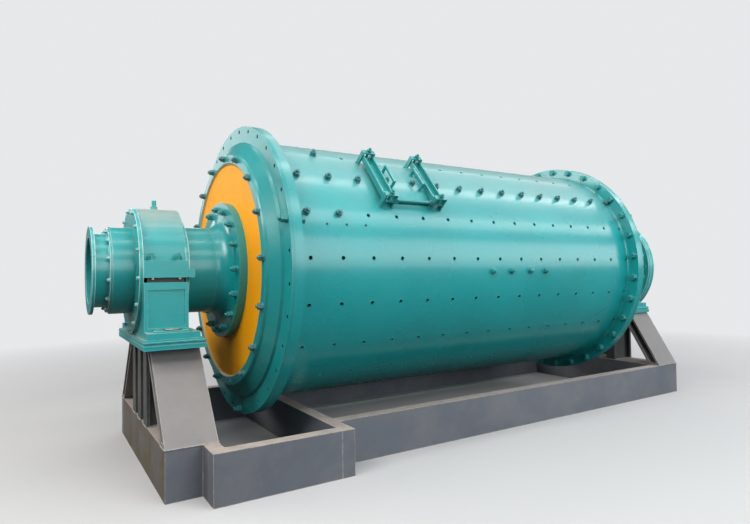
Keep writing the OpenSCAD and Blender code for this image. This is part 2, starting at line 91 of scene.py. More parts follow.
AXIS_Z = (low("shell").z + high("shell").z) / 2
SHELL_R = radius("shell")
SHELL_END = high("shell").x
BEAM_TOP = high("far_long_beam").z
print("the axis is at", round(AXIS_Z, 3), "and the shell's radius is", round(SHELL_R, 3))

# %% [markdown]
# The camera stands where the photographer stood, at breast height beside the feed end. It is a
# wide lens that is turned a little up. A look-at helper would add its own roll, so the three
# axes of the camera are built by hand from a heading, a pitch and a roll.

# %% Camera
CAMERA_PLACE = Vector((-3.468, -4.593, 1.413))
CAMERA_HEADING = 0.5588
CAMERA_PITCH = 0.025
CAMERA_ROLL = -0.0135
CAMERA_LENS, SENSOR_WIDTH = 26.25, 36


def aim(heading, pitch, roll):
    """Rotation of a camera that looks from +Y towards +X by heading and up by pitch."""
    level = math.cos(pitch)
    forward = Vector((math.sin(heading) * level, math.cos(heading) * level, math.sin(pitch)))
    right = Vector((math.cos(heading), -math.sin(heading), 0))
    up = right.cross(forward)
    turn = Matrix((right, up, -forward)).transposed()
    return turn.to_4x4() @ Matrix.Rotation(roll, 4, "Z")


def new_object(name, data):
    made = bpy.data.objects.new(name, data)
    bpy.context.collection.objects.link(made)
    return made


camera = new_object("camera", bpy.data.cameras.new("camera"))
camera.data.lens = CAMERA_LENS
camera.data.sensor_width = SENSOR_WIDTH
look = aim(CAMERA_HEADING, CAMERA_PITCH, CAMERA_ROLL)
camera.matrix_world = Matrix.Translation(CAMERA_PLACE) @ look
bpy.context.scene.camera = camera
print("the camera stands", round(CAMERA_PLACE.z, 2), "metres above the floor")

# %% [markdown]
# Effects that several finishes share are node groups. The first breaks up a painted colour: wide
# soft clouds where the coat is thicker, fine specks of dust, and a faint orange peel in the height.
# Dust also settles on faces that look up, so a share of it follows the upward part of the piece's
# own normal, which stays with the drum when the drum turns. On the drum and the bearings' caps this
# pale top is also a painted sheen, the reflection of the roof.

# %% Node group for sprayed paint
CLOUD_SCALE, FILM_SCALE, PATCH_SCALE, SPECK_SCALE = 1.3, 3.1, 9.0, 38.0
FINE_PEEL_SCALE, COARSE_PEEL_SCALE, FINE_PEEL_SHARE = 90.0, 7.0, 0.5
SPECK_SHARE, LEAST_PATCH, MOST_DUST = 0.6, 0.55, 0.9
DUST_ROUGHNESS, CLOUD_ROUGHNESS = 0.35, 0.05


def new_group(name, inputs, outputs):
    """A shader node group with named sockets, and its input and output nodes."""
    group = bpy.data.node_groups.new(name, "ShaderNodeTree")
    for socket, kind, value in inputs:
        made = group.interface.new_socket(socket, in_out="INPUT", socket_type=kind)
        made.default_value = value
    for socket, kind in outputs:
        group.interface.new_socket(socket, in_out="OUTPUT", socket_type=kind)
    entry = group.nodes.new("NodeGroupInput")
    leave = group.nodes.new("NodeGroupOutput")
    return group, entry.outputs, leave.inputs


def add(tree, kind, **settings):
    node = tree.nodes.new(kind)
    for name, value in settings.items():
        setattr(node, name, value)
    return node


def put(tree, socket, value):
    """Gives a socket a constant, or a link from another socket."""
    if isinstance(value, (int, float, tuple)):
        socket.default_value = value
    else:
        tree.links.new(value, socket)


def noise(tree, scale, detail, rough=0.55, stretch=None):
    """Noise on the piece's own coordinates, drawn out along an axis by stretch."""
    vector = add(tree, "ShaderNodeTexCoord").outputs["Object"]
    if stretch:
        mapping = add(tree, "ShaderNodeMapping")
        mapping.inputs["Scale"].default_value = stretch
        tree.links.new(vector, mapping.inputs["Vector"])
        vector = mapping.outputs["Vector"]
    made = add(tree, "ShaderNodeTexNoise")
    made.inputs["Scale"].default_value = scale
    made.inputs["Detail"].default_value = detail
    made.inputs["Roughness"].default_value = rough
    tree.links.new(vector, made.inputs["Vector"])
    return made.outputs["Fac"]


def facing(tree, axis):
    """How far the piece's own normal points along an axis, from -1 to 1."""
    apart = add(tree, "ShaderNodeSeparateXYZ")
    tree.links.new(add(tree, "ShaderNodeTexCoord").outputs["Normal"], apart.inputs[0])
    return apart.outputs[axis]


def ramp(tree, value, start, stop):
    """Maps a value from start..stop to 0..1."""
    made = add(tree, "ShaderNodeMapRange")
    made.inputs["From Min"].default_value = start
    made.inputs["From Max"].default_value = stop
    tree.links.new(value, made.inputs["Value"])
    return made.outputs["Result"]


def math_node(tree, operation, first, second):
    made = add(tree, "ShaderNodeMath", operation=operation)
    put(tree, made.inputs[0], first)
    put(tree, made.inputs[1], second)
    return made.outputs[0]


def plus(tree, first, second):
    return math_node(tree, "ADD", first, second)


def times(tree, first, second):
    return math_node(tree, "MULTIPLY", first, second)


def mix(tree, mask, first, second):
    """Mixes two colours by a mask; each may be a colour or a socket."""
    made = add(tree, "ShaderNodeMix", data_type="RGBA")
    for socket, value in ((0, mask), (6, first), (7, second)):
        put(tree, made.inputs[socket], value)
    return made.outputs[2]


def dust_mask(group, entry):
    """Dust blown on everywhere, and a pale layer on faces that look up, partly a painted sheen."""
    specks = ramp(group, noise(group, SPECK_SCALE, 5.0, 0.7), 0.60, 0.78)
    film = ramp(group, noise(group, FILM_SCALE, 5.0, 0.65), 0.42, 0.75)
    blown = plus(group, times(group, specks, SPECK_SHARE), film)
    blown = times(group, blown, entry["Dust Amount"])
    # On the drum and the bearings' caps the pale layer on up-facing faces is also a painted sheen.
    upward = ramp(group, facing(group, "Z"), 0.35, 0.95)
    patches = ramp(group, noise(group, PATCH_SCALE, 5.0, 0.7), 0.30, 0.70)
    patchy = plus(group, times(group, patches, 1 - LEAST_PATCH), LEAST_PATCH)
    settled_dust_and_sheen = times(group, times(group, upward, patchy), entry["Settled Dust And Sheen"])
    return math_node(group, "MINIMUM", plus(group, blown, settled_dust_and_sheen), MOST_DUST)


def build_paint_group():
    group, entry, leave = new_group(
        "sprayed_paint",
        [("Coat", "NodeSocketColor", (0.1, 0.5, 0.5, 1)),
         ("Thin Coat", "NodeSocketColor", (0.1, 0.4, 0.4, 1)),
         ("Dust", "NodeSocketColor", (0.6, 0.6, 0.55, 1)),
         ("Dust Amount", "NodeSocketFloat", 0.3),
         ("Settled Dust And Sheen", "NodeSocketFloat", 0.0),
         ("Gloss", "NodeSocketFloat", 0.3)],
        [("Color", "NodeSocketColor"), ("Roughness", "NodeSocketFloat"),
         ("Height", "NodeSocketFloat")])
    clouds = ramp(group, noise(group, CLOUD_SCALE, 4.0), 0.35, 0.68)
    dusty = dust_mask(group, entry)
    coat = mix(group, clouds, entry["Thin Coat"], entry["Coat"])
    group.links.new(mix(group, dusty, coat, entry["Dust"]), leave["Color"])
    rough = plus(group, entry["Gloss"], times(group, dusty, DUST_ROUGHNESS))
    rough = plus(group, rough, times(group, clouds, CLOUD_ROUGHNESS))
    group.links.new(rough, leave["Roughness"])
    fine = times(group, noise(group, FINE_PEEL_SCALE, 2.0), FINE_PEEL_SHARE)
    group.links.new(plus(group, fine, noise(group, COARSE_PEEL_SCALE, 2.0)), leave["Height"])
    return group


PAINT_GROUP = build_paint_group()
print("the paint group has", len(PAINT_GROUP.nodes), "nodes")

# %% [markdown]
# The second group finds edges. The Bevel node rounds the shading normal near an edge, so where it
# turns away from the true normal there is an edge. Noise breaks that line up into rubs and chips.
# The pale line is partly rubbed paint and partly a painted highlight on the model's sharp edges.

# %% Node group for worn edges and painted edge highlights
EDGE_RADIUS, EDGE_SAMPLES = 0.010, 6
EDGE_START, EDGE_FULL = 0.995, 0.90
CHIP_SCALE, CHIP_FLOOR = 22.0, 0.35


def build_edge_group():
    group, entry, leave = new_group(
        "worn_and_highlit_edges", [("Chipping And Highlight", "NodeSocketFloat", 0.5)], [("Mask", "NodeSocketFloat")])
    rounded = add(group, "ShaderNodeBevel", samples=EDGE_SAMPLES)
    rounded.inputs["Radius"].default_value = EDGE_RADIUS
    true = add(group, "ShaderNodeNewGeometry")
    product = add(group, "ShaderNodeVectorMath", operation="DOT_PRODUCT")
    group.links.new(rounded.outputs["Normal"], product.inputs[0])
    group.links.new(true.outputs["Normal"], product.inputs[1])
    edge = ramp(group, product.outputs["Value"], EDGE_START, EDGE_FULL)
    chips = ramp(group, noise(group, CHIP_SCALE, 5.0, 0.7), 0.30, 0.62)
    broken = plus(group, chips, entry["Chipping And Highlight"])
    mask = times(group, edge, math_node(group, "SUBTRACT", broken, CHIP_FLOOR))
    clamp = add(group, "ShaderNodeClamp")
    group.links.new(mask, clamp.inputs["Value"])
    group.links.new(clamp.outputs["Result"], leave["Mask"])
    return group


EDGE_GROUP = build_edge_group()
print("the edge group has", len(EDGE_GROUP.nodes), "nodes")

# %% [markdown]
# One function mixes a finish: paint from the first group, bare or pale metal on the edges from the
# second, which is partly a painted highlight, and a thin clear gloss on top. Each real coat is then
# one call with its own colours.

# %% Paint finishes
PEEL_DEPTH, CLEAR_ROUGHNESS = 0.02, 0.15


def new_material(name):
    """A material, its node tree and its Principled shader."""
    material = bpy.data.materials.new(name)
    material.use_nodes = True
    tree = material.node_tree
    return material, tree, tree.nodes["Principled BSDF"]


def add_bump(tree, shader, height, strength, distance):
    bump = add(tree, "ShaderNodeBump")
    bump.inputs["Strength"].default_value = strength
    bump.inputs["Distance"].default_value = distance
    tree.links.new(height, bump.inputs["Height"])
    tree.links.new(bump.outputs["Normal"], shader.inputs["Normal"])


def paint_finish(name, coat, thin, dust_amount, gloss, edge=None, chipping_and_highlight=0.5, clear=0.0,
                 peel=0.04, settled_dust_and_sheen=0.0, dust_and_sheen=(0.40, 0.36, 0.28), shine=0.5):
    """A painted finish. Colours are linear; edge is the rubbed coat's colour and a painted
    highlight.
    """
    material, tree, shader = new_material(name)
    paint = add(tree, "ShaderNodeGroup", node_tree=PAINT_GROUP)
    for socket, value in (("Coat", coat), ("Thin Coat", thin), ("Dust", dust_and_sheen)):
        paint.inputs[socket].default_value = (*value, 1)
    paint.inputs["Dust Amount"].default_value = dust_amount
    paint.inputs["Settled Dust And Sheen"].default_value = settled_dust_and_sheen
    paint.inputs["Gloss"].default_value = gloss
    colour = paint.outputs["Color"]
    if edge:
        # The edge colour is rubbed paint, and partly a painted highlight.
        edge_wear_and_highlight = add(tree, "ShaderNodeGroup", node_tree=EDGE_GROUP)
        edge_wear_and_highlight.inputs["Chipping And Highlight"].default_value = chipping_and_highlight
        colour = mix(tree, edge_wear_and_highlight.outputs["Mask"], colour, (*edge, 1))
    tree.links.new(colour, shader.inputs["Base Color"])
    tree.links.new(paint.outputs["Roughness"], shader.inputs["Roughness"])
    add_bump(tree, shader, paint.outputs["Height"], peel, PEEL_DEPTH)
    shader.inputs["Coat Weight"].default_value = clear
    shader.inputs["Coat Roughness"].default_value = CLEAR_ROUGHNESS
    shader.inputs["Specular IOR Level"].default_value = shine
    return material


def beam_finish(name):
    return paint_finish(name, (0.142, 0.157, 0.186), (0.117, 0.132, 0.159), 0.16, 0.48,
                        edge=(0.50, 0.44, 0.36), chipping_and_highlight=0.30, peel=0.10, settled_dust_and_sheen=0.80,
                        dust_and_sheen=(0.43, 0.355, 0.30))


# Lighter teal on the edges is rubbed paint, and partly a painted highlight.
RUBBED_AND_HIGHLIT_TEAL = (0.12, 0.42, 0.40)
# The shell's pale top is dust and a painted reflection of the roof.
shell_paint = paint_finish("shell_paint", (0.008, 0.325, 0.334), (0.007, 0.285, 0.294),
                           0.02, 0.25, clear=0.4, settled_dust_and_sheen=0.46, dust_and_sheen=(0.38, 0.35, 0.33))
head_paint = paint_finish("head_paint", (0.008, 0.290, 0.296), (0.007, 0.248, 0.255),
                          0.03, 0.28, edge=(0.10, 0.42, 0.41), chipping_and_highlight=0.1, clear=0.25)
# The caps' grey top is dust and a painted sheen.
bearing_paint = paint_finish("bearing_paint", (0.008, 0.345, 0.352), (0.007, 0.300, 0.308),
                             0.03, 0.32, edge=(0.14, 0.48, 0.46), chipping_and_highlight=0.15, clear=0.2,
                             peel=0.08, settled_dust_and_sheen=1.1, dust_and_sheen=(0.29, 0.31, 0.28))
clamp_paint = paint_finish("clamp_paint", (0.009, 0.290, 0.284), (0.007, 0.225, 0.222),
                           0.05, 0.35, edge=RUBBED_AND_HIGHLIT_TEAL, chipping_and_highlight=0.2, clear=0.2)
# Its pale edge colour is partly a painted highlight: the bright rim of the mouth ring and the
# bright dots on the small bolts.
liner_paint = paint_finish("liner_paint", (0.011, 0.340, 0.337), (0.009, 0.288, 0.288),
                           0.05, 0.28, edge=(0.58, 0.72, 0.68), chipping_and_highlight=0.85, clear=0.3)
face_paint = paint_finish("face_paint", (0.960, 0.410, 0.003), (0.900, 0.345, 0.002),
                          0.01, 0.50, edge=(0.75, 0.62, 0.32), chipping_and_highlight=0.45, peel=0.10,
                          dust_and_sheen=(0.60, 0.30, 0.06), shine=0.12)
leg_paint = paint_finish("leg_paint", (0.188, 0.182, 0.190), (0.163, 0.157, 0.165),
                         0.10, 0.50, edge=(0.44, 0.42, 0.40), chipping_and_highlight=0.35, peel=0.08,
                         settled_dust_and_sheen=0.3)
# The posts' paint is darker than the legs': painted shade, since the posts stand in the shade of
# the bearings.
post_paint_with_painted_shade = paint_finish("post_paint_with_painted_shade", (0.066, 0.074, 0.080), (0.050, 0.057, 0.063),
                          0.12, 0.50, edge=(0.30, 0.29, 0.27), chipping_and_highlight=0.35, peel=0.08)
# The end beam's paint also carries painted shade on its faces towards the feed end.
beam_paint, end_beam_paint_with_painted_shade = beam_finish("beam_paint"), beam_finish("end_beam_paint_with_painted_shade")
bolt_paint = paint_finish("bolt_paint", (0.007, 0.180, 0.192), (0.005, 0.112, 0.124),
                          0.03, 0.34, edge=(0.16, 0.38, 0.37), chipping_and_highlight=0.2, clear=0.2)
flange_bolt_paint = paint_finish("flange_bolt_paint", (0.008, 0.260, 0.260),
                                 (0.006, 0.190, 0.190), 0.05, 0.36, edge=RUBBED_AND_HIGHLIT_TEAL,
                                 chipping_and_highlight=0.2)
# Pale cream, a painted highlight on the lip's inner edge.
highlight_bead_paint = paint_finish("highlight_bead_paint", (0.66, 0.52, 0.26), (0.50, 0.37, 0.15),
                          0.20, 0.50, peel=0.10)
# Near-black steel; on the shell it also serves as painted shade in four open holes.
shim_metal = paint_finish("shim_metal", (0.030, 0.052, 0.054), (0.018, 0.030, 0.032),
                          0.03, 0.6)
bush_metal = paint_finish("bush_metal", (0.30, 0.22, 0.11), (0.22, 0.16, 0.08), 0.05, 0.35)
print("materials in the file:", len(bpy.data.materials))

# %% [markdown]
# The end beam below the feed bearing is darker and browner on the faces that look towards the feed
# end, where less light falls: this is painted shade, and its other sides keep their plain paint. So
# the shade follows the part of the normal that looks that way.

# %% Painted shade on the faces towards the feed end
FEED_SIDE_SHADE, FEED_SIDE_SHADE_SCALE = (0.112, 0.088, 0.054, 1), 5.0


def paint_feed_side_shade(material, colour):
    """Paints a warm shade on the faces of a finish that look towards the feed end."""
    tree = material.node_tree
    base = tree.nodes["Principled BSDF"].inputs["Base Color"]
    turned = ramp(tree, facing(tree, "X"), -0.5, -0.9)
    clouds = ramp(tree, noise(tree, FEED_SIDE_SHADE_SCALE, 5.0, 0.65), 0.15, 0.65)
    mask = times(tree, turned, clouds)
    tree.links.new(mix(tree, mask, base.links[0].from_socket, colour), base)


# The end beam's feed-facing faces get painted shade, a warm dark brown.
paint_feed_side_shade(end_beam_paint_with_painted_shade, FEED_SIDE_SHADE)
print("painted shade lies on", end_beam_paint_with_painted_shade.name)

# %% [markdown]
# The studs in the gaps of the bearings and the machined pads on their feet were never painted.
# Their steel is metallic, with fine machining lines along one axis that a stretched noise gives to
# the roughness and to the height.

# %% Bare steel
BRIGHT_STEEL, STAINED_STEEL = (0.62, 0.60, 0.56, 1), (0.36, 0.33, 0.29, 1)
STAIN_SCALE, LINE_SCALE, LINE_STRETCH = 30.0, 60.0, (1, 1, 9)
STEEL_METALLIC, STEEL_ROUGHNESS, LINE_ROUGHNESS = 0.9, 0.22, 0.25
LINE_STRENGTH, LINE_DEPTH = 0.25, 0.004


def build_bare_steel():
    material, tree, shader = new_material("bare_steel")
    shader.inputs["Metallic"].default_value = STEEL_METALLIC
    stain = ramp(tree, noise(tree, STAIN_SCALE, 4.0, 0.6), 0.40, 0.70)
    steel = mix(tree, stain, BRIGHT_STEEL, STAINED_STEEL)
    tree.links.new(steel, shader.inputs["Base Color"])
    lines = noise(tree, LINE_SCALE, 2.0, 0.5, stretch=LINE_STRETCH)
    rough = plus(tree, STEEL_ROUGHNESS, times(tree, lines, LINE_ROUGHNESS))
    tree.links.new(rough, shader.inputs["Roughness"])
    add_bump(tree, shader, lines, LINE_STRENGTH, LINE_DEPTH)
    return material


bare_steel = build_bare_steel()
print("built", bare_steel.name)

# %% [markdown]
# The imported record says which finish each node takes, so the nodes are dressed in one loop.

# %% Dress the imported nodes
FINISHES = {
    "shell_paint": shell_paint, "head_paint": head_paint, "bearing_paint": bearing_paint,
    "clamp_paint": clamp_paint, "liner_paint": liner_paint, "face_paint": face_paint,
    "leg_paint": leg_paint, "beam_paint": beam_paint, "shim_metal": shim_metal,
    "bush_metal": bush_metal}
# The posts take the darker paint, which is painted shade.
SPECIAL = {"feed_posts": post_paint_with_painted_shade, "discharge_posts": post_paint_with_painted_shade,
           "feed_cross_beam": end_beam_paint_with_painted_shade}
used = set()
for part in frame["record"]["subparts"]:
    finish = SPECIAL.get(part["node"], FINISHES[part["material_slot"]])
    used.add(finish.name)
    mesh = nodes[part["node"]].data
    mesh.materials.clear()
    mesh.materials.append(finish)
print("dressed", len(nodes), "nodes in", len(used), "finishes")

# %% [markdown]
# A bolt is a stud, a nut and a washer, all turned shapes. One template of each kind is made with
# bmesh operators and then stamped at many places into one mesh, which keeps the scene light.

# %% Fastener templates
TINY, MERGE = 1e-6, 1e-5
THREAD_CORE, STUD_SIDES, STUD_SHARE = 0.88, 12, 0.31
WASHER_SIDES, WASHER_CHAMFER, NUT_CHAMFER = 20, 0.3, 0.07


def at(x, y, z):
    return Matrix.Translation((x, y, z))


def edges_of(made):
    """The edges at the vertices that an operator made."""
    return {e for v in made["verts"] for e in v.link_edges}


def cut_edges(bm, edges, offset, segments=1):
    bmesh.ops.bevel(bm, geom=list(edges), offset=offset, offset_type="OFFSET", segments=segments,
                    profile=0.5, affect="EDGES", material=-1)


def chamfered_prism(bm, sides, r, height, base, chamfer):
    """A prism on Z whose top edge is cut back, as a nut or a bolt's head is."""
    made = bmesh.ops.create_cone(bm, cap_ends=True, segments=sides, radius1=r, radius2=r,
                                 depth=height, matrix=at(0, 0, base + height / 2))
    top = base + height - TINY
    cut_edges(bm, [e for e in edges_of(made) if all(v.co.z > top for v in e.verts)], chamfer)


def threads(bm, r, base, height, turns):
    """A stud's end with its thread drawn as a stack of ridges, all in one turned skin."""
    ring = bmesh.ops.create_circle(bm, cap_ends=False, segments=STUD_SIDES,
                                   radius=r * THREAD_CORE, matrix=at(0, 0, base))
    edges = list(edges_of(ring))
    step = height / (2 * turns)
    for i in range(2 * turns):
        grown = bmesh.ops.extrude_edge_only(bm, edges=edges)["geom"]
        verts = [g for g in grown if isinstance(g, bmesh.types.BMVert)]
        edges = [g for g in grown if isinstance(g, bmesh.types.BMEdge)]
        scale = 1 / THREAD_CORE if i % 2 == 0 else THREAD_CORE
        bmesh.ops.scale(bm, vec=(scale, scale, 1), verts=verts)
        bmesh.ops.translate(bm, vec=(0, 0, step), verts=verts)
    bmesh.ops.edgeloop_fill(bm, edges=edges)


def hex_nut(bm, flats, washer=1.3, thick=0.1, height=0.8, stud=0.45, ridges=3):
    """A hexagon nut with its washer and the stud's end, standing on Z from the plane z = 0.

    Washer, thickness, height and stud are shares of the size across flats."""
    seat = thick * flats
    corner_r = flats / 2 / math.cos(math.pi / 6)
    chamfered_prism(bm, WASHER_SIDES, flats * washer / 2, seat, 0.0, seat * WASHER_CHAMFER)
    chamfered_prism(bm, 6, corner_r, flats * height, seat, flats * NUT_CHAMFER)
    if stud:
        threads(bm, flats * STUD_SHARE, seat + flats * height, flats * stud, ridges)


def mesh_of(bm, name):
    """Writes a bmesh into a mesh in a fixed order, since the operators leave a new one each run."""
    verts = sorted(bm.verts, key=lambda v: v.co[:])
    rank = {vert: i for i, vert in enumerate(verts)}
    faces = []
    for face in bm.faces:
        ring = [rank[vert] for vert in face.verts]
        first = ring.index(min(ring))
        faces.append(ring[first:] + ring[:first])
    mesh = bpy.data.meshes.new(name)
    mesh.from_pydata([v.co[:] for v in verts], [], sorted(faces))
    bm.free()
    return mesh


def template(build, *args, **kwargs):
    bm = bmesh.new()
    build(bm, *args, **kwargs)
    return mesh_of(bm, "template")


def piece_from(bm, name, body, finish, smooth=False):
    """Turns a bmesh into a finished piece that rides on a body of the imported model."""
    bmesh.ops.recalc_face_normals(bm, faces=bm.faces)
    mesh = mesh_of(bm, name)
    for face in mesh.polygons:
        face.use_smooth = smooth
    piece = new_object(name, mesh)
    mesh.materials.append(finish)
    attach(piece, body)


def stamp(name, mesh, places, body, finish, smooth=False):
    """One object that holds a copy of a template at each place, riding on a body."""
    bm = bmesh.new()
    for place in places:
        first = len(bm.verts)
        bm.from_mesh(mesh)
        bm.verts.ensure_lookup_table()
        bmesh.ops.transform(bm, matrix=place, verts=bm.verts[first:])
    print(name, "stands at", len(places), "places")
    piece_from(bm, name, body, finish, smooth)


# %% [markdown]
# Places are given as an engineer would measure them: a distance along the drum and a turn around
# its axis, counted in degrees from the top towards the near side.

# %% Places on the drum
NUT_TURN = 0.7


def around(x, turn):
    """A place on the drum's axis at x, turned about it, with Z pointing away from it."""
    return at(x, 0, AXIS_Z) @ Matrix.Rotation(math.radians(turn), 4, "X")


def on_shell(x, turn, r):
    """A place on the shell at x and a turn, with Z pointing away from the axis."""
    return around(x, turn) @ at(0, 0, r)


def on_face(x, turn, r, end):
    """A place on a face across the drum's axis, Z pointing out towards one end."""
    return on_shell(x, turn, r) @ Matrix.Rotation(end * math.pi / 2, 4, "Y")


def circle(count, start=0.0):
    return [start + i * 360 / count for i in range(count)]


def spun(place, i):
    """Turns a fastener about itself, so that no two nuts stand alike."""
    return place @ Matrix.Rotation(i * NUT_TURN, 4, "Z")


def ring_of(x, turns, r, end):
    return [spun(on_face(x, turn, r, end), i) for i, turn in enumerate(turns)]


def spin_section(bm, corners, centre, axis, steps):
    """Spins a closed section, given by its corners, about an axis into a ring."""
    verts = [bm.verts.new(corner) for corner in corners]
    edges = [bm.edges.new((verts[i - 1], verts[i])) for i in range(len(verts))]
    bmesh.ops.spin(bm, geom=verts + edges, cent=centre, axis=axis, angle=2 * math.pi,
                   steps=steps, use_merge=True)
    bmesh.ops.remove_doubles(bm, verts=bm.verts, dist=MERGE)


# %% [markdown]
# The liner bolts stand in twenty rows of holes around the shell. On this mill two upper rows have
# all their nuts, two of them on the manhole's cover, and a few more stand at the feed end. Most
# holes are still open.

# %% Liner nuts on the shell
ROWS, COLUMNS = 20, 15
ROW_TURN, FEED_HOLE_END, DISCHARGE_HOLE_END = 14.5, 0.098, 0.030
LINER_FLATS, COVER_FLATS, HOLE_R = 0.046, 0.042, 0.015
PITCH = (2 * SHELL_END - FEED_HOLE_END - DISCHARGE_HOLE_END) / (COLUMNS - 1)
COLUMN_X = [-SHELL_END + FEED_HOLE_END + k * PITCH for k in range(COLUMNS)]
FULL_ROWS = (50.5, 302.5)
FIRST_NUTS = {68.5: (0, 1), 32.5: (1,), 14.5: (0,), 356.5: (0, 2), 320.5: (0, 1, 2, 3)}
MANHOLE_X, MANHOLE_TURN, MANHOLE_ARC = middle_x("manhole_cover"), 49.5, 17.3
CLAMP_REACH = (high("discharge_side_clamp").x - low("feed_side_clamp").x) / 2
CLAMP_CLEAR, END_CLEAR = 0.035, 0.045
COVER_T, COVER_COLUMNS = 0.0223, (3, 4)
COVER_OUT = SHELL_R + COVER_T


def under_manhole(x, turn):
    beside = abs(x - MANHOLE_X) < CLAMP_REACH + CLAMP_CLEAR
    return beside and abs(turn - MANHOLE_TURN) < MANHOLE_ARC


def has_nut(column, turn):
    return turn in FULL_ROWS or column in FIRST_NUTS.get(turn, ())


liner_places, open_places = [], []
for row in range(ROWS):
    turn = ROW_TURN + row * 360 / ROWS
    for column, x in enumerate(COLUMN_X):
        if under_manhole(x, turn):
            continue
        if has_nut(column, turn):
            liner_places.append(spun(on_shell(x, turn, SHELL_R), row + column))
        elif x < SHELL_END - END_CLEAR:
            open_places.append(on_shell(x, turn, SHELL_R))
stamp("liner_nuts", template(hex_nut, LINER_FLATS, washer=1.32, height=0.7, stud=0.4),
      liner_places, "drum", bolt_paint)
stamp("cover_nuts", template(hex_nut, COVER_FLATS, height=0.7, stud=0.2, ridges=2),
      [spun(on_shell(COLUMN_X[k], FULL_ROWS[0], COVER_OUT), k) for k in COVER_COLUMNS],
      "drum", bolt_paint)

# %% [markdown]
# Each open hole stands in a thin ring of paint that ran off the drill's burr: a flat section that
# is spun around the hole. Four early nuts and four small dark discs stand on lines of their own,
# between the rows of the liner bolts. The dark discs are painted shade for four open holes.

# %% Rims of the open holes, early nuts and painted shade of four holes
RIM_W, RIM_TOP, RIM_RISE, RIM_STEPS = 0.004, 0.4, 0.0015, 14
EARLY_TURN, EARLY_NUTS_X = 92.0, (-0.06, 0.17, 0.41, 0.61)
HOLE_SHADE_TURN, HOLE_SHADE_X = 73.0, (-1.836, -1.652, -1.487, -1.322)
HOLE_SHADE_SIDES, HOLE_SHADE_R, HOLE_SHADE_H, HOLE_SHADE_SUNK, HOLE_SHADE_CHAMFER = 12, 0.009, 0.007, 0.001, 0.002


def drill_ring(bm, bore, width, rise):
    """The raised lip of paint and burr around a drilled hole."""
    section = [(bore, 0, -rise), (bore, 0, rise), (bore + width * RIM_TOP, 0, rise),
               (bore + width, 0, -rise)]
    spin_section(bm, section, (0, 0, 0), (0, 0, 1), RIM_STEPS)


stamp("drill_rings", template(drill_ring, HOLE_R, RIM_W, RIM_RISE), open_places, "drum",
      shell_paint)
stamp("early_nuts", template(hex_nut, LINER_FLATS, washer=1.32, height=0.6, stud=0.3),
      [spun(on_shell(x, EARLY_TURN, SHELL_R), i) for i, x in enumerate(EARLY_NUTS_X)],
      "drum", flange_bolt_paint)
# Four dark discs, painted shade for four open holes.
stamp("shell_hole_shades",
      template(chamfered_prism, HOLE_SHADE_SIDES, HOLE_SHADE_R, HOLE_SHADE_H, -HOLE_SHADE_SUNK, HOLE_SHADE_CHAMFER),
      [on_shell(x, HOLE_SHADE_TURN, SHELL_R) for x in HOLE_SHADE_X], "drum", shim_metal)

# %% [markdown]
# The discharge flange is bolted all round, with heads on the shell's side and nuts on the head's
# side. The feed flange waits for its gear and is held by two bolts only.

# %% Flange bolts
FLANGE_FLATS, FLANGE_BOLT_INSET = 0.052, 0.041
FLANGE_HOLES, FLANGE_TURN = 32, 5.84
GEAR_SIDE_BOLTS = (6, 15)
HEAD_RIM_OUT = 0.095
flange_nut = template(hex_nut, FLANGE_FLATS, washer=1.25, stud=0.35)
flange_head = template(hex_nut, FLANGE_FLATS, washer=1.25, stud=0, height=0.65)
bolt_r = radius("feed_shell_flange") - FLANGE_BOLT_INSET
shell_side = inner_x("discharge_shell_flange", DISCHARGE)
head_side = SHELL_END + HEAD_RIM_OUT
all_turns = circle(FLANGE_HOLES, FLANGE_TURN)
few_turns = [all_turns[i] for i in GEAR_SIDE_BOLTS]
for end, turns in ((DISCHARGE, all_turns), (FEED, few_turns)):
    stamp(NAMES[end] + "_flange_bolts", flange_head, ring_of(end * shell_side, turns, bolt_r, -end),
          "drum", flange_bolt_paint)
    stamp(NAMES[end] + "_flange_nuts", flange_nut, ring_of(end * head_side, turns, bolt_r, end),
          "drum", flange_bolt_paint)

# %% [markdown]
# Seventeen studs clamp the liners of each head. Their nuts stand on the raised lip, on round
# washers that are a little too large, which throws the small shadows around the orange face.

# %% Nuts on the heads and the trunnion flanges
HEAD_FLATS, HEAD_STUDS, HEAD_STUD_TURN, HEAD_STUD_R = 0.042, 17, 1.0, 0.935
TRUNNION_BOLTS, TRUNNION_INSET = 16, 0.060
FACE_SUNK, TRUNNION_FLANGE_T = 0.014, 0.062
head_nut = template(hex_nut, HEAD_FLATS, washer=1.4, stud=0.3, height=0.7)
trunnion_nut = template(hex_nut, HEAD_FLATS, washer=1.4, stud=0.4)
for end, name in NAMES.items():
    lip_x = outer_x(name + "_head", end)
    face_x = lip_x - FACE_SUNK + TRUNNION_FLANGE_T
    flange_r = radius(name + "_trunnion_flange") - TRUNNION_INSET
    stamp(name + "_head_nuts", head_nut,
          ring_of(end * lip_x, circle(HEAD_STUDS, HEAD_STUD_TURN), HEAD_STUD_R, end),
          "drum", bolt_paint)
    stamp(name + "_trunnion_nuts", trunnion_nut,
          ring_of(end * face_x, circle(TRUNNION_BOLTS), flange_r, end),
          "drum", flange_bolt_paint)

# %% [markdown]
# The mouth of the feed liner is clamped to the trunnion by a ring of small bolts, and the seal ring
# of each bearing is held in the same way. Their edges take the liner paint's pale edge colour, a
# painted highlight, so they show as rows of pale dots.

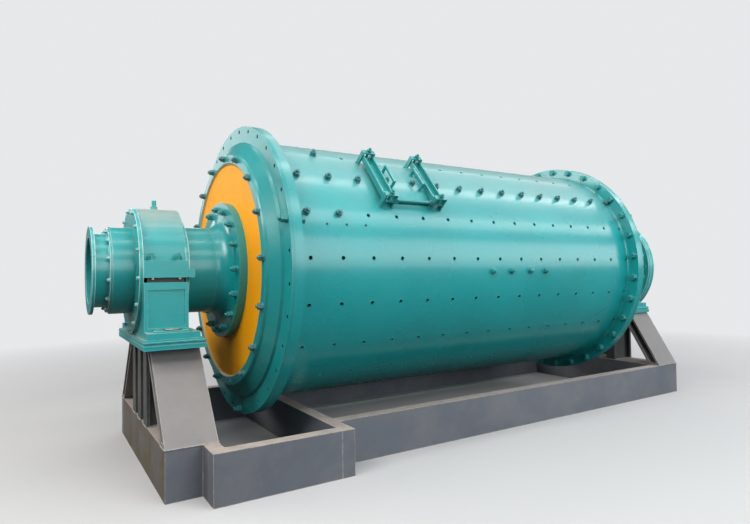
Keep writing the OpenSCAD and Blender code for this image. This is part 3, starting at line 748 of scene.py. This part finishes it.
# %% Small bolts of the liners and the seals
SMALL_FLATS, RING_FLATS = 0.022, 0.036
MOUTH_BOLTS, MOUTH_TURN, MOUTH_BOLT_R, MOUTH_SEAT_X = 12, 14.0, 0.2985, 3.005
SEAL_BOLTS, SEAL_TURN, SEAL_INSET = 14, -5.0, 0.025
RING_BOLTS, RING_BOLT_R = 16, 0.580
small_bolt = template(hex_nut, SMALL_FLATS, washer=1.5, thick=0.14, height=0.65, stud=0)
small_nut = template(hex_nut, SMALL_FLATS, washer=1.5, thick=0.14, height=0.65, stud=0.2,
                     ridges=2)
stamp("mouth_bolts", small_nut,
      ring_of(-MOUTH_SEAT_X, circle(MOUTH_BOLTS, MOUTH_TURN), MOUTH_BOLT_R, FEED), "drum",
      liner_paint)
for end, name in NAMES.items():
    seal = name + "_outer_seal"
    stamp(name + "_seal_bolts", small_bolt,
          ring_of(end * outer_x(seal, end), circle(SEAL_BOLTS, SEAL_TURN),
                  radius(seal) - SEAL_INSET, end), "frame", liner_paint)
ring_x = outer_x("discharge_ring", DISCHARGE)
stamp("discharge_ring_bolts", template(hex_nut, RING_FLATS, washer=1.5, stud=0, height=0.65),
      ring_of(ring_x, circle(RING_BOLTS), RING_BOLT_R, DISCHARGE), "drum", flange_bolt_paint)

# %% [markdown]
# Each bearing is split: two studs on each side hold the cap down on packs of shims. Seen from the
# side, a bright stud shows in the dark gap above the base. The foot is held to the sole plate
# through a painted strap over its slots, with a low nut at each end and a machined seat between.

# %% Studs, nuts and straps of the bearings
CAP_FLATS, CAP_STUD_IN, STUD_FROM_END, SHOULDER_UP = 0.040, 0.035, 0.060, 0.122
GAP_STUD_R, GAP_STUD_H, GAP_STUD_IN, STUD_BAR_SIDES = 0.011, 0.014, 0.001, 14
BASE_PAST_BUSH, BASE_PAST_SHIMS = 0.012, 0.020
SLOT_FROM_INNER, SLOT_FROM_OUTER, FOOT_OUT = 0.030, 0.080, 0.0676
FOOT_H, STRAP_T, STRAP_SIDES = 0.045, 0.014, 32
STUD_CHAMFER, STRAP_CHAMFER = 0.15, 0.2
FOOT_BARS = (("_foot_straps", 0.060, 0.092, STRAP_T, 0.0, bearing_paint, "bearing_paint"),
             ("_foot_seats", -0.070, 0.080, 0.005, STRAP_T, shim_metal, "shim_metal"),
             ("_foot_pads", -0.092, 0.058, 0.010, STRAP_T, bare_steel, "shim_metal"))
SIDES = (-1, 1)
cap_nut = template(hex_nut, CAP_FLATS, washer=1.4, stud=0.5)
foot_nut = template(hex_nut, CAP_FLATS, washer=1.4, thick=0.05, height=0.22, stud=0)
gap_stud = template(chamfered_prism, STUD_BAR_SIDES, GAP_STUD_R, GAP_STUD_H, 0.0,
                    GAP_STUD_R * STUD_CHAMFER)


def strap(bm, length, width, thick):
    """A flat bar with round ends: a disc whose two halves are drawn apart."""
    made = bmesh.ops.create_cone(bm, cap_ends=True, segments=STRAP_SIDES, radius1=width / 2,
                                 radius2=width / 2, depth=thick, matrix=at(0, 0, thick / 2))
    for vert in made["verts"]:
        if abs(vert.co.x) > TINY:
            vert.co.x += math.copysign((length - width) / 2, vert.co.x)
    rim = [e for e in bm.edges if all(v.co.z > thick - TINY for v in e.verts)]
    cut_edges(bm, rim, thick * STRAP_CHAMFER, segments=2)


for end, name in NAMES.items():
    cap, shims = name + "_bearing_cap", name + "_bearing_shims"
    inner = inner_x(name + "_bearing_bush", end) - BASE_PAST_BUSH
    outer = outer_x(cap, end)
    split_half = high(shims).y + BASE_PAST_SHIMS
    rows = [end * (inner + STUD_FROM_END), end * (outer - STUD_FROM_END)]
    nut_y, nut_z = split_half - CAP_STUD_IN, low(cap).z + SHOULDER_UP
    stud_y, stud_z = split_half - GAP_STUD_R - GAP_STUD_IN, high(shims).z - GAP_STUD_H
    stamp(name + "_cap_nuts", cap_nut,
          [spun(at(x, side * nut_y, nut_z), i) for i, x in enumerate(rows) for side in SIDES],
          "frame", flange_bolt_paint)
    stamp(name + "_gap_studs", gap_stud,
          [at(x, side * stud_y, stud_z) for x in rows for side in SIDES],
          "frame", bare_steel)
    slots = [end * (inner + SLOT_FROM_INNER), end * (outer - SLOT_FROM_OUTER)]
    middle, reach = sum(slots) / 2, abs(slots[1] - slots[0])
    foot_y, foot_z = split_half + FOOT_OUT, low(name + "_bearing_base").z + FOOT_H
    print(name, "foot slots are", round(reach, 3), "apart")
    for kind, longer, width, thick, lift, finish, slot in FOOT_BARS:
        stamp(name + kind, template(strap, reach + longer, width, thick),
              [at(middle, side * foot_y, foot_z + lift) for side in SIDES], "frame", finish)
    nut_z = foot_z + STRAP_T
    stamp(name + "_foot_nuts", foot_nut,
          [spun(at(x, side * foot_y, nut_z), i) for i, x in enumerate(slots) for side in SIDES],
          "frame", flange_bolt_paint)

# %% [markdown]
# The manhole's cover is pressed down by two channels. A screw runs through the bar of each yoke,
# stands on the channel's web and is locked by a nut, and the tie rod has a lock nut at each end.

# %% Screws and nuts of the manhole's clamps
YOKE_Y, YOKE_TOP, WEB_TOP, ROD_UP = 0.258, 1.1802, 1.1186, 1.116
SCREW_FLATS, SCREW_R, SCREW_ABOVE, SCREW_RIDGES = 0.036, 0.0115, 0.040, 12
ROD_FLATS = 0.044
CLAMP_X = [middle_x(node) for node in ("feed_side_clamp", "discharge_side_clamp")]
ROD_REACH = (high("clamp_tie_rod").x - low("clamp_tie_rod").x) / 2


def at_manhole(x, y, z):
    """A place beside the manhole: x along the drum, y around it and z away from its axis."""
    return around(x, MANHOLE_TURN) @ at(0, y, z)


def clamp_screw(bm, below, above):
    """A long screw through a nut on z = 0; the screw reaches below and above it."""
    hex_nut(bm, SCREW_FLATS, washer=1.35, stud=0, height=0.6)
    threads(bm, SCREW_R, -below, below + above, SCREW_RIDGES)


def rod_end(side):
    place = at_manhole(MANHOLE_X + side * ROD_REACH, -YOKE_Y, ROD_UP)
    return place @ Matrix.Rotation(-side * math.pi / 2, 4, "Y")


stamp("clamp_screws", template(clamp_screw, YOKE_TOP - WEB_TOP, SCREW_ABOVE),
      [spun(at_manhole(x, side * YOKE_Y, YOKE_TOP), i) for i, x in enumerate(CLAMP_X)
       for side in SIDES], "drum", flange_bolt_paint)
stamp("tie_rod_nuts", template(hex_nut, ROD_FLATS, washer=1.1, stud=0, height=0.55),
      [rod_end(side) for side in SIDES], "drum", bolt_paint)

# %% [markdown]
# A weld bead is a row of small overlapping ripples, each where the welder's hand paused. One
# flattened dome with few faces is the ripple, and a path of points says where the bead runs.

# %% Weld beads
WELD_STEP, WELD_R, WELD_SPREAD, RIPPLE_SHAPE = 0.009, 0.0075, 0.12, (0.8, 1.0, 0.8)
LEG_W, POST_W, PLATE_T = 0.130, 0.120, 0.025
SEAM_FOOT, SEAM_HEAD, CROSS_RUN = 0.010, 0.002, 0.1
random.seed(41)


def ripple(bm):
    bmesh.ops.create_icosphere(bm, subdivisions=1, radius=WELD_R)
    bmesh.ops.scale(bm, vec=RIPPLE_SHAPE, verts=bm.verts)


RIPPLE = template(ripple)


def along(start, stop):
    """Places of ripples on a straight bead, their X along it, with a little unevenness."""
    start, stop = Vector(start), Vector(stop)
    run = stop - start
    count = max(2, int(run.length / WELD_STEP))
    turn = run.to_track_quat("X", "Z").to_matrix().to_4x4()
    places = []
    for i in range(count + 1):
        spot = start + run * i / count
        size = 1 + random.uniform(-WELD_SPREAD, WELD_SPREAD)
        places.append(Matrix.Translation(spot) @ turn @ Matrix.Scale(size, 4))
    return places


def box_foot(x0, x1, y0, y1, z):
    """A bead around the foot of an upright plate or column."""
    return (along((x0, y0, z), (x1, y0, z)) + along((x1, y0, z), (x1, y1, z))
            + along((x1, y1, z), (x0, y1, z)) + along((x0, y1, z), (x0, y0, z)))


def upright_seam(x, y):
    return along((x, y, SEAM_FOOT), (x, y, BEAM_TOP - SEAM_HEAD))


def pedestal_welds(name):
    """The beads at the feet and heads of one pedestal's legs and posts."""
    leg, under = name + "_leg_far", low(name + "_sole_plate").z
    x0, x1 = low(leg).x, high(leg).x
    welds = []
    for side in SIDES:
        foot_out, foot_in = side * high(leg).y, side * (high(leg).y - LEG_W)
        welds += box_foot(x0, x1, foot_in, foot_out, BEAM_TOP)
        head_out, head_in = side * (low(leg).y + LEG_W), side * low(leg).y
        welds += box_foot(x0, x1, head_in, head_out, under)
    post_y = high(name + "_posts").y - POST_W / 2
    for y in (-post_y, 0, post_y):
        for x in (x0, x1 - PLATE_T):
            for z in (BEAM_TOP, under):
                welds += box_foot(x, x + PLATE_T, y - POST_W / 2, y + POST_W / 2, z)
    return welds


def cross_beam_welds(end):
    """The beads on top of an end beam, where it runs between the long beams."""
    first, last = low(NAMES[end] + "_cross_beam"), high(NAMES[end] + "_cross_beam")
    welds = []
    for x in (first.x, last.x):
        welds += along((x, last.y, BEAM_TOP), (x, last.y + CROSS_RUN, BEAM_TOP))
    welds += along((first.x, last.y, BEAM_TOP), (last.x, last.y, BEAM_TOP))
    if end == DISCHARGE:
        welds += along((first.x, first.y, BEAM_TOP), (last.x, first.y, BEAM_TOP))
    return welds


frame_welds = pedestal_welds("feed") + pedestal_welds("discharge")
print("ripples on the pedestals:", len(frame_welds))
near_y, bay_y = low("near_long_beam").y, high("bay_outer_beam").y
for x, y in ((high("bay_cross_beam").x, near_y), (low("bay_cross_beam").x, bay_y),
             (low("bay_feed_beam").x, near_y), (high("bay_feed_beam").x, near_y),
             (high("bay_feed_beam").x, bay_y),
             (low("near_long_beam").x, high("near_long_beam").y)):
    frame_welds += upright_seam(x, y)
frame_welds += cross_beam_welds(FEED) + cross_beam_welds(DISCHARGE)
stamp("frame_welds", RIPPLE, frame_welds, "frame", leg_paint, smooth=True)

# %% [markdown]
# The same ripples run along the feet of the yokes and around the feet of the cover's handles.
# Their places are measured at the manhole, where the shell and the cover curve away to the sides.

# %% Weld beads at the manhole
YOKE_HALF_W, YOKE_LEG_OUT = 0.022, 0.058
HANDLE_X, HANDLE_Y, BAR_HALF = 0.143, 0.095, 0.009


def drop(r, y):
    """Height above the axis of a cylinder's skin, at a distance y to the side."""
    return math.sqrt(r ** 2 - y ** 2)


clamp_welds = []
for x in CLAMP_X:
    for y in (-YOKE_Y, YOKE_Y):
        for side in SIDES:
            leg_x, z = side * YOKE_LEG_OUT, drop(SHELL_R, y)
            spots = along((leg_x, y - YOKE_HALF_W, z), (leg_x, y + YOKE_HALF_W, z))
            clamp_welds += [at_manhole(x, 0, 0) @ spot for spot in spots]
for x in (-HANDLE_X, HANDLE_X):
    for y in (-HANDLE_Y, HANDLE_Y):
        spots = box_foot(x - BAR_HALF, x + BAR_HALF, y - BAR_HALF, y + BAR_HALF,
                         drop(COVER_OUT, y))
        clamp_welds += [at_manhole(MANHOLE_X, 0, 0) @ spot for spot in spots]
stamp("clamp_welds", RIPPLE, clamp_welds, "drum", clamp_paint, smooth=True)

# %% [markdown]
# The shell is joined to its two flanges by a fillet weld that runs right round. A short section,
# slightly hollow, is spun about the drum's axis, which gives a closed ring with few faces.

# %% Rings turned about the drum's axis
FILLET, FILLET_IN, FILLET_HOLLOW, RING_STEPS = 0.016, 0.002, 0.40, 160


def turned_ring(section):
    """A closed ring: a section of (x, radius) corners spun about the drum's axis."""
    bm = bmesh.new()
    corners = [(x, 0, AXIS_Z + r) for x, r in section]
    spin_section(bm, corners, (0, 0, AXIS_Z), (1, 0, 0), RING_STEPS)
    return bm


for end, name in NAMES.items():
    root = end * (SHELL_END + FILLET_IN / 2)
    corner = end * (SHELL_END - FILLET_IN / 2)
    fillet = [(root, SHELL_R - FILLET_IN), (corner - end * FILLET, SHELL_R - FILLET_IN / 2),
              (corner - end * FILLET * FILLET_HOLLOW, SHELL_R + FILLET * FILLET_HOLLOW),
              (root, SHELL_R + FILLET)]
    piece_from(turned_ring(fillet), name + "_shell_fillet", "drum", shell_paint)
print("two fillet rings at", round(SHELL_END, 3), "from the middle")

# %% [markdown]
# Where the orange plate meets the head's raised lip, a bead runs round the corner. Its pale
# cream colour is a painted highlight along the lip's inner edge: a thin cream line around the face.

# %% Beads around the orange faces
BEAD, BEAD_PROUD, BEAD_LAP, BEAD_SUNK = 0.008, 0.002, 0.003, 0.001
for end, name in NAMES.items():
    lip, face = end * outer_x(name + "_head", end), end * outer_x(name + "_head_face", end)
    r = radius(name + "_head_face")
    sunk, proud, edge = face - end * BEAD_SUNK, face + end * BEAD_PROUD, lip - end * BEAD_PROUD
    bead = [(sunk, r + BEAD_LAP), (sunk, r - BEAD - BEAD_SUNK), (proud, r - BEAD),
            (edge, r + BEAD_SUNK), (edge, r + BEAD_LAP)]
    piece_from(turned_ring(bead), name + "_face_bead", "drum", highlight_bead_paint)
    print(name, "bead at radius", round(r, 4), "and depth", round(abs(lip - face), 4))

# %% [markdown]
# Each sole plate is a stack: plates of slightly different sizes were packed under the bearing until
# the drum lay level, and their edges show as fine lines around its side.

# %% Packing plates in the sole plates
PACK_T, PACK_PROUD, PACK_ROUND = 0.010, 0.003, 0.0012
PACK_LEVELS = (0.40, 0.76)


def packing_plate(bm, first, last, z):
    size = (last.x - first.x + 2 * PACK_PROUD, last.y - first.y + 2 * PACK_PROUD, PACK_T)
    middle = ((first.x + last.x) / 2, (first.y + last.y) / 2, z)
    made = bmesh.ops.create_cube(bm, size=1, matrix=Matrix.LocRotScale(middle, None, size))
    cut_edges(bm, edges_of(made), PACK_ROUND, segments=2)


for end, name in NAMES.items():
    first, last = low(name + "_sole_plate"), high(name + "_sole_plate")
    levels = [first.z + share * (last.z - first.z) for share in PACK_LEVELS]
    bm = bmesh.new()
    for z in levels:
        packing_plate(bm, first, last, z)
    piece_from(bm, name + "_packing_plates", "frame", bearing_paint)
    print(name, "packing plates at", [round(z, 3) for z in levels])

# %% [markdown]
# The floor is one pale sheet. Near the mill it is real paper that takes the shadow, and further out
# it fades, for the camera, into the plain tone of the world, so that no horizon shows. For light
# that bounces it is darker, because a white floor would fill the deep shade under the drum.

# %% Floor
BACKDROP = (0.80, 0.81, 0.82, 1)
PAPER, SHADED_PAPER = (0.47, 0.47, 0.475, 1), (0.05, 0.05, 0.05, 1)
PAPER_ROUGHNESS, PAPER_SHINE = 0.9, 0.1
FLOOR_SIZE, FADE_START, FADE_END = 60, 4.5, 10.0
GLOSSY_SHARE = 0.12


def seen_directly(tree):
    """1 for rays from the camera and through glass, and a share of that for reflections."""
    path = add(tree, "ShaderNodeLightPath")
    seen = plus(tree, path.outputs["Is Camera Ray"], path.outputs["Is Transmission Ray"])
    mirrored = times(tree, path.outputs["Is Glossy Ray"], GLOSSY_SHARE)
    return math_node(tree, "MINIMUM", plus(tree, seen, mirrored), 1.0)


def blend_shaders(tree, share, first, second, target):
    """Mixes two shaders by a share and gives the result to the output's surface."""
    blend = add(tree, "ShaderNodeMixShader")
    for socket, value in zip(blend.inputs, (share, first, second)):
        tree.links.new(value, socket)
    tree.links.new(blend.outputs["Shader"], tree.nodes[target].inputs["Surface"])


def make_floor():
    bm = bmesh.new()
    bmesh.ops.create_grid(bm, x_segments=1, y_segments=1, size=FLOOR_SIZE)
    mesh = mesh_of(bm, "floor")
    floor = new_object("floor", mesh)
    material, tree, shader = new_material("floor_paper")
    seen = seen_directly(tree)
    tree.links.new(mix(tree, seen, SHADED_PAPER, PAPER), shader.inputs["Base Color"])
    shader.inputs["Roughness"].default_value = PAPER_ROUGHNESS
    shader.inputs["Specular IOR Level"].default_value = PAPER_SHINE
    far = add(tree, "ShaderNodeVectorMath", operation="LENGTH")
    tree.links.new(add(tree, "ShaderNodeTexCoord").outputs["Object"], far.inputs[0])
    fade = times(tree, ramp(tree, far.outputs["Value"], FADE_START, FADE_END), seen)
    plain = add(tree, "ShaderNodeEmission")
    plain.inputs["Color"].default_value = BACKDROP
    blend_shaders(tree, fade, shader.outputs["BSDF"], plain.outputs["Emission"],
                  "Material Output")
    mesh.materials.append(material)


make_floor()
print("the floor fades from", FADE_START, "to", FADE_END, "metres out")

# %% [markdown]
# A hall with long roof windows lit the real mill, so its glossy drum shows soft bands that run
# along it. Three long skylights, parallel to the drum, draw such bands. A tall window panel in
# front gives the broad sheen that stops at eye height, and one behind edges the top. Two warm
# panels light the feed end, and the world adds a dim, cool fill.

# %% Lights and world
WARM, COOL, WHITE = (1.0, 0.95, 0.90), (0.94, 0.98, 1.0), (1, 1, 1)
WORLD_TONE, WORLD_FILL = (0.86, 0.90, 0.95, 1), 0.14
NEARLY_UPRIGHT = 0.99
PANELS = (
    ("roof_panel", (0.5, -2.5, 7.0), (0.5, -2.5, 0), (16, 11), 300, COOL),
    ("skylight_0", (4.0, -5.6, 6.9), (4.0, -5.6, 0), (22, 2.2), 620, WHITE),
    ("skylight_1", (4.0, -1.2, 6.9), (4.0, -1.2, 0), (22, 0.7), 290, WHITE),
    ("skylight_2", (4.0, 2.8, 6.9), (4.0, 2.8, 0), (22, 0.7), 100, WHITE),
    ("window_panel", (8.0, -11.0, 4.2), (8.0, 0, 1.4), (24, 5), 1350, COOL),
    ("far_window_panel", (5.0, 10.0, 4.6), (5.0, 0, 1.6), (22, 3), 420, COOL),
    ("feed_panel", (-7.5, -2.5, 6.6), (-2.0, 0, 1.6), (4, 3), 360, WARM),
    ("far_wall_panel", (-12.0, 6.0, 5.6), (-2.0, 0, 1.8), (10, 3), 800, WARM),
)


def area_light(name, place, target, size, power, colour):
    data = bpy.data.lights.new(name, "AREA")
    data.shape = "RECTANGLE"
    data.size, data.size_y = size
    data.energy = power
    data.color = colour
    lamp = new_object(name, data)
    third = (Vector(place) - Vector(target)).normalized()
    upright = abs(third.z) >= NEARLY_UPRIGHT
    first = Vector((1, 0, 0)) if upright else Vector((-third.y, third.x, 0)).normalized()
    turn = Matrix((first, third.cross(first), third)).transposed().to_4x4()
    lamp.matrix_world = Matrix.Translation(place) @ turn
    lamp.visible_camera = False


for panel in PANELS:
    area_light(*panel)


def build_world():
    world = bpy.data.worlds.new("studio")
    world.use_nodes = True
    tree = world.node_tree
    fill = tree.nodes["Background"]
    fill.inputs["Color"].default_value = WORLD_TONE
    fill.inputs["Strength"].default_value = WORLD_FILL
    plain = add(tree, "ShaderNodeBackground")
    plain.inputs["Color"].default_value = BACKDROP
    plain.inputs["Strength"].default_value = 1.0
    blend_shaders(tree, seen_directly(tree), fill.outputs["Background"],
                  plain.outputs["Background"], "World Output")
    bpy.context.scene.world = world


build_world()
bpy.context.scene.view_settings.view_transform = "Standard"
print("lights:", len(PANELS))
